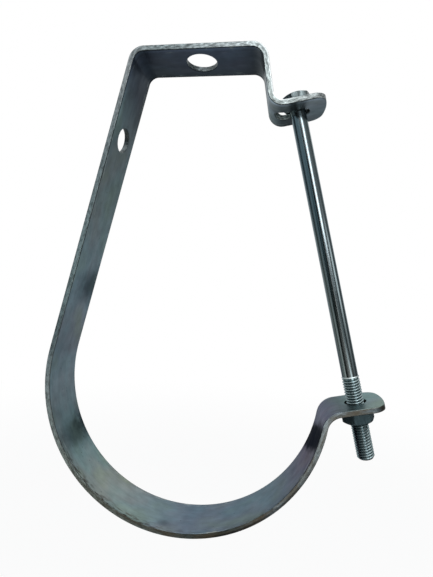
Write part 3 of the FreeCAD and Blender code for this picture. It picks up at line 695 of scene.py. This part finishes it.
# patterns go by mm across the bar, twice, and along it, and radius is in mm too; the lines that
# drawing leaves are finer on a real bar, and 0.8 mm is as fine as the render shows
boltFinish = {
    "tone": "#a4aeb0", "cool": "#869398", "thread": "#9caeb0", "root": "#56666a",
    "shoulder": "#c2cccc", "head": "#7a8485",
    "threadRoughness": 0.24, "shoulderRoughness": 0.36, "headRoughness": 0.42, "shoulderUp": 0.2,
    "patterns": {"lines": (0.8, 0.8, 160, 3), "cloud": (6, 6, 14, 3), "grit": (1.9, 1.9, 5.0, 4)},
    "ranges": {
        "level": ("lines", 0.3, 0.7, 0.82, 1.12), "rough": ("cloud", 0.3, 0.7, 0.10, 0.20),
        "underCrest": ("radius", 4.88, 4.8, 0, 1), "rootShade": ("radius", 4.45, 4.15, 0, 1),
        "shoulderHighlight": ("fromShoulder", 0.5, 0.3, 0, 1), "gritty": ("grit", 0.40, 0.60, 0.4, 1.4)},
    "products": {"flank": ("threaded", "underCrest"), "formedGrit": ("grit", "formed")},
    "lineRelief": (0.4, 0.008), "gritRelief": (0.8, 0.15),      # strength, mm high
}
nutFinish = {
    "tone": "#5c6e74", "cool": "#46585f", "lineRelief": (0.4, 0.008),
    "patterns": {"lines": (1.2, 1.2, 8, 3), "cloud": (6, 6, 14, 3)},
    "ranges": {"level": ("lines", 0.3, 0.7, 0.82, 1.12), "rough": ("cloud", 0.3, 0.7, 0.56, 0.70)},
}


def cloudedZinc(tree, value, z):
    # two tones of zinc in soft clouds, with light and dark lines, and the relief of those lines
    colour = addNode(tree, "ShaderNodeMix", {
        "data_type": "RGBA", 6: linear(z["tone"]), 7: linear(z["cool"])}, {0: value["cloud"]}).outputs[2]
    colour = addNode(tree, "ShaderNodeVectorMath", {"operation": "SCALE"},
                     {0: colour, "Scale": value["level"]}).outputs[0]
    strength, high = z["lineRelief"]
    fine = addNode(tree, "ShaderNodeBump", {"Strength": strength, "Distance": high * mm},
                   {"Height": value["lines"]}).outputs[0]
    return colour, fine


def zincPlatedBolt(z):
    # drawn bar and rolled thread: brighter than the strip, lines along the bar, painted shade in the
    # thread roots, a painted highlight on the shoulder where the thread starts and a head as rough as
    # it left the forming die
    material, tree = newMaterial("zincPlatedBolt")
    place = addNode(tree, "ShaderNodeAttribute", {"attribute_name": "turned"}).outputs["Vector"]
    height = addNode(tree, "ShaderNodeSeparateXYZ", links={0: place}).outputs[2]
    flat = addNode(tree, "ShaderNodeVectorMath", {"operation": "MULTIPLY", 1: (1, 1, 0)}, {0: place})
    radius = addNode(tree, "ShaderNodeVectorMath", {"operation": "LENGTH"}, {0: flat.outputs[0]})
    value = {"radius": radius.outputs["Value"]}
    off = addNode(tree, "ShaderNodeMath", {"operation": "SUBTRACT", 1: threadEnd + z["shoulderUp"]},
                  {0: height})
    for name, source, settings in (
            ("fromShoulder", off.outputs[0], {"operation": "ABSOLUTE"}),
            ("threaded", height, {"operation": "LESS_THAN", 1: threadEnd}),
            ("formed", height, {"operation": "GREATER_THAN", 1: headStart})):
        value[name] = addNode(tree, "ShaderNodeMath", settings, {0: source}).outputs[0]
    readTables(tree, place, value, z)

    colour, fine = cloudedZinc(tree, value, z)
    # the thread roots take painted shade and the shoulder band a painted highlight
    for mask, tone in (("flank", "thread"), ("rootShade", "root"), ("shoulderHighlight", "shoulder")):
        colour = addNode(tree, "ShaderNodeMix", {"data_type": "RGBA", 7: linear(z[tone])},
                         {0: value[mask], 6: colour}).outputs[2]
    formedTone = addNode(tree, "ShaderNodeVectorMath", {"operation": "SCALE", 0: linear(z["head"])[:3]},
                         {"Scale": value["gritty"]}).outputs[0]
    colour = addNode(tree, "ShaderNodeMix", {"data_type": "RGBA"},
                     {0: value["formed"], 6: colour, 7: formedTone}).outputs[2]
    rough = value["rough"]
    for mask, level in (("threaded", "threadRoughness"), ("shoulderHighlight", "shoulderRoughness"),
                        ("formed", "headRoughness")):
        rough = addNode(tree, "ShaderNodeMix", {"data_type": "FLOAT", 3: z[level]},
                        {0: value[mask], 2: rough}).outputs[0]
    strength, high = z["gritRelief"]
    relief = addNode(tree, "ShaderNodeBump", {"Strength": strength, "Distance": high * mm},
                     {"Height": value["formedGrit"], "Normal": fine})
    shader = addNode(tree, "ShaderNodeBsdfPrincipled", {"Metallic": 1.0},
                     {"Base Color": colour, "Roughness": rough, "Normal": relief.outputs[0]})
    addNode(tree, "ShaderNodeOutputMaterial", links={"Surface": shader.outputs[0]})
    return material


def zincPlatedNut(z):
    # cold-formed nut in dull zinc: rougher than the bolt, with faint short lines; darker than the bolt,
    # partly duller zinc and partly painted shade, as it sits under the ear
    material, tree = newMaterial("zincPlatedNut")
    place = addNode(tree, "ShaderNodeAttribute", {"attribute_name": "turned"}).outputs["Vector"]
    value = {}
    readTables(tree, place, value, z)
    colour, fine = cloudedZinc(tree, value, z)
    shader = addNode(tree, "ShaderNodeBsdfPrincipled", {"Metallic": 1.0},
                     {"Base Color": colour, "Roughness": value["rough"], "Normal": fine})
    addNode(tree, "ShaderNodeOutputMaterial", links={"Surface": shader.outputs[0]})
    return material


stripLong = stripRun["topEar"]["start"] + stripRun["topEar"]["length"]
bentStrap.data.materials.append(zincPlatedStrip(stripFinish, stripLong))
threadedBolt.data.materials.append(zincPlatedBolt(boltFinish))
hexNut.data.materials.append(zincPlatedNut(nutFinish))
print("finishes made, strip length", round(stripLong, 1))


# Camera: close, level with the middle of the hanger and a little to its right
camera = {"place": (50.911, -230.230, -135.088), "yaw": -8.650, "pitch": -0.916, "roll": -2.969,
          "focalPixels": 384.985, "imageHigh": 577, "film": 36.0, "nearest": 10}


def placeCamera(z):
    yaw, pitch, roll = (math.radians(z[k]) for k in ("yaw", "pitch", "roll"))
    ahead = Vector((math.sin(yaw) * math.cos(pitch), math.cos(yaw) * math.cos(pitch), math.sin(pitch)))
    level = Vector((math.cos(yaw), -math.sin(yaw), 0))
    down = ahead.cross(level)
    right = level * math.cos(roll) + down * math.sin(roll)
    down = down * math.cos(roll) - level * math.sin(roll)
    data = bpy.data.cameras.new("camera")
    data.sensor_width = z["film"]
    data.lens = z["film"] * z["focalPixels"] / z["imageHigh"]
    data.clip_start = z["nearest"] * mm
    holder = addObject("camera", data)
    turn = Matrix((right, -down, -ahead)).transposed()
    holder.matrix_world = Matrix.Translation(Vector(z["place"]) * mm) @ turn.to_4x4()
    bpy.context.scene.camera = holder


placeCamera(camera)
print("camera placed")


# Floor, world, the room that the metal mirrors, and lamps; lengths here are in metres, and the
# cards turn by cardStep degrees from one row of points to the next
studio = {"floorDrop": 0.42, "floorSize": 8.0, "floorColour": "#f4f4f2", "shadowReach": 0.35,
          "fadeReach": 0.9, "nearWhite": 0.9, "worldColour": "#eef2f6", "worldLevel": 0.6, "cardStep": 6}


def seesBackground(tree):
    # 1 for the camera and for what metal reflects, 0 for light that falls on the object
    path = addNode(tree, "ShaderNodeLightPath")
    first = addNode(tree, "ShaderNodeMath", {"operation": "MAXIMUM"},
                    {0: path.outputs["Is Camera Ray"], 1: path.outputs["Is Glossy Ray"]})
    return addNode(tree, "ShaderNodeMath", {"operation": "MAXIMUM"},
                   {0: first.outputs[0], 1: path.outputs["Is Transmission Ray"]}).outputs[0]


def makeWorld(z):
    world = bpy.data.worlds.new("studio")
    bpy.context.scene.world = world
    world.use_nodes = True
    tree = world.node_tree
    tree.nodes.clear()
    fill = addNode(tree, "ShaderNodeBackground",
                   {"Color": linear(z["worldColour"]), "Strength": z["worldLevel"]})
    white = addNode(tree, "ShaderNodeBackground", {"Color": (1, 1, 1, 1), "Strength": 1.0})
    mix = addNode(tree, "ShaderNodeMixShader",
                  links={0: seesBackground(tree), 1: fill.outputs[0], 2: white.outputs[0]})
    addNode(tree, "ShaderNodeOutputWorld", links={"Surface": mix.outputs[0]})


def makeFloor(z):
    mesh = bpy.data.meshes.new("floor")
    half = z["floorSize"] / 2
    corners = [(-half, -half, 0), (half, -half, 0), (half, half, 0), (-half, half, 0)]
    mesh.from_pydata(corners, [], [(0, 1, 2, 3)])
    floor = addObject("floor", mesh)
    floor.location = (0, 0, -z["floorDrop"])
    material, tree = newMaterial("paleFloor")
    matt = addNode(tree, "ShaderNodeBsdfDiffuse", {"Color": linear(z["floorColour"])})
    white = addNode(tree, "ShaderNodeEmission", {"Color": (1, 1, 1, 1), "Strength": 1.0})
    place = addNode(tree, "ShaderNodeTexCoord").outputs["Object"]
    away = addNode(tree, "ShaderNodeVectorMath", {"operation": "LENGTH"}, {0: place})
    # the shadow stays under the hanger, and the floor fades into the background further out
    fade = addNode(tree, "ShaderNodeMapRange", {
        "interpolation_type": "SMOOTHSTEP", "From Min": z["shadowReach"], "From Max": z["fadeReach"],
        "To Min": z["nearWhite"], "To Max": 1.0}, {"Value": away.outputs["Value"]})
    share = addNode(tree, "ShaderNodeMath", {"operation": "MULTIPLY"},
                    {0: seesBackground(tree), 1: fade.outputs[0]})
    mix = addNode(tree, "ShaderNodeMixShader",
                  links={0: share.outputs[0], 1: matt.outputs[0], 2: white.outputs[0]})
    addNode(tree, "ShaderNodeOutputMaterial", links={"Surface": mix.outputs[0]})
    mesh.materials.append(material)


def addLamp(name, z):
    data = bpy.data.lights.new(name, "AREA")
    wide, high = z["size"]
    data.shape = "RECTANGLE"
    data.size = wide
    data.size_y = high
    data.energy = z["level"] * math.pi * wide * high
    data.color = linear(z["colour"])[:3]
    lamp = addObject(name, data)
    lamp.location = z["place"]
    lamp.rotation_mode = "QUATERNION"
    lamp.rotation_quaternion = (Vector(z["target"]) - Vector(z["place"])).to_track_quat("-Z", "Y")


def addCard(name, z, step):
    # a card round the set that only the metal sees
    count = max(1, round((z["to"] - z["from"]) / step))
    turns = [math.radians(z["from"] + (z["to"] - z["from"]) * k / count) for k in range(count + 1)]
    spots = [(row[0] * math.sin(a), -row[0] * math.cos(a), row[1]) for a in turns for row in z["rows"]]
    wide = len(z["rows"])
    faces = [(wide * k + r, wide * k + r + 1, wide * k + wide + r + 1, wide * k + wide + r)
             for k in range(count) for r in range(wide - 1)]
    mesh = bpy.data.meshes.new(name)
    mesh.from_pydata(spots, [], faces)
    glow = mesh.attributes.new("glow", "FLOAT_VECTOR", "POINT")
    tones = [[c * (level[0] if level else 1) for c in linear(colour)[:3]]
             for _, _, colour, *level in z["rows"]]
    for k, spot in enumerate(glow.data):
        spot.vector = tones[k % wide]
    card = addObject(name, mesh)
    material, tree = newMaterial(name)
    tone = addNode(tree, "ShaderNodeAttribute", {"attribute_name": "glow"}).outputs["Vector"]
    light = addNode(tree, "ShaderNodeEmission", {"Strength": 1.0}, {0: tone})
    addNode(tree, "ShaderNodeOutputMaterial", links={"Surface": light.outputs[0]})
    mesh.materials.append(material)
    for kind in ("camera", "diffuse", "transmission", "volume_scatter", "shadow"):
        setattr(card, "visible_" + kind, False)


# from and to are degrees from straight in front, positive to the right; rows are (distance,
# height, colour) and, where one is brighter than white paper, how many times as bright
cards = {
    "backCard": {"from": 125, "to": 235, "rows": (
        (0.10, -0.40, "#343a42"), (0.40, -0.40, "#5c646c"), (0.75, -0.40, "#a4acb0"),
        (1.5, -0.40, "#b8c0c2"), (1.5, 0.10, "#b0b8bc"), (1.5, 0.45, "#c4cccf"), (1.5, 0.8, "#f2f6f6"))},
    "sideCard": {"from": 80, "to": 125, "rows": (
        (0.10, -0.40, "#30302e"), (1.3, -0.40, "#4c5052"), (1.3, 0.7, "#6c7476"), (1.3, 1.1, "#6c7476"))},
    "doorCard": {"from": 56, "to": 80, "rows": (
        (0.10, -0.40, "#34302c"), (0.8, -0.40, "#6c6862"), (1.2, -0.25, "#5c6466"),
        (1.2, -0.05, "#c0c4c4"), (1.2, 0.06, "#eef4f4", 1.6), (1.2, 0.22, "#eef4f4", 1.5),
        (1.2, 0.34, "#8c9294"), (1.2, 0.6, "#7c8282"), (1.2, 1.1, "#747a7a"))},
    "rightCard": {"from": 38, "to": 56, "rows": (
        (0.10, -0.40, "#7c756a"), (0.8, -0.40, "#8a8276"), (1.2, -0.2, "#3c4244"),
        (1.2, 0.2, "#585e60"), (1.2, 0.6, "#8c9496"), (1.2, 1.1, "#7c8284"))},
    "floorWindowCard": {"from": 14, "to": 38, "rows": (
        (0.10, -0.40, "#8c8782"), (0.5, -0.40, "#e8ecea", 1.7), (1.2, -0.39, "#eef4f4", 2.0),
        (1.2, -0.32, "#a0a8aa"), (1.2, -0.20, "#646e70"), (1.2, -0.02, "#7c8486"),
        (1.2, 0.06, "#e4e8e8"))},
    "lowWindowCard": {"from": 4, "to": 14, "rows": (
        (0.10, -0.40, "#8c8782"), (0.8, -0.40, "#a8a49c"), (1.2, -0.36, "#8a8a84"),
        (1.2, -0.10, "#c8cccc"), (1.2, 0.06, "#e4e8e8"))},
    "frontCard": {"from": -19, "to": 2, "rows": (
        (0.10, -0.40, "#8c8782"), (0.9, -0.40, "#7c7c7a"), (1.2, -0.35, "#24221f"),
        (1.2, 0.25, "#1c2024"), (1.2, 0.4, "#2c3438"))},
    "gapCard": {"from": -48, "to": -33, "rows": (
        (0.10, -0.40, "#1c1c1a"), (0.8, -0.40, "#141616"), (1.2, -0.36, "#101416"),
        (1.2, -0.16, "#384a50"), (1.2, 0.1, "#6c8690"), (1.2, 0.40, "#a0b0b6"))},
    "tealCard": {"from": -33, "to": -19, "rows": (
        (0.10, -0.40, "#3c3e3a"), (0.8, -0.40, "#303432"), (1.2, -0.35, "#30403e"),
        (1.2, 0.1, "#6c8690"), (1.2, 0.40, "#a0b0b6"))},
    "paleCard": {"from": -70, "to": -48, "rows": (
        (0.10, -0.40, "#e8eae4"), (0.8, -0.40, "#929c9c"), (1.2, -0.2, "#768a92"),
        (1.2, 0.45, "#8498a2"))},
    "leftCard": {"from": -125, "to": -70, "rows": (
        (0.10, -0.40, "#9a9c96"), (1.3, -0.40, "#7c8480"), (1.3, -0.1, "#5e7078"),
        (1.3, 0.6, "#78888f"))},
}
# level is how bright a lamp's face is, where 1 is a white wall
lamps = {
    "topLamp": {"place": (0.15, -0.45, 0.85), "target": (0.02, 0, -0.10), "size": (1.0, 0.7),
                "level": 1.8, "colour": "#f6fbff"},
    "windowLamp": {"place": (0.40, -1.18, 0.42), "target": (0.06, 0, -0.12), "size": (0.36, 0.72),
                   "level": 3.0, "colour": "#f4faff"},
}
makeWorld(studio)
makeFloor(studio)
for name, z in cards.items():
    addCard(name, z, studio["cardStep"])
for name, z in lamps.items():
    addLamp(name, z)
bpy.context.scene.view_settings.view_transform = "Standard"
print("floor, world,", len(cards), "cards and", len(lamps), "lamps set")
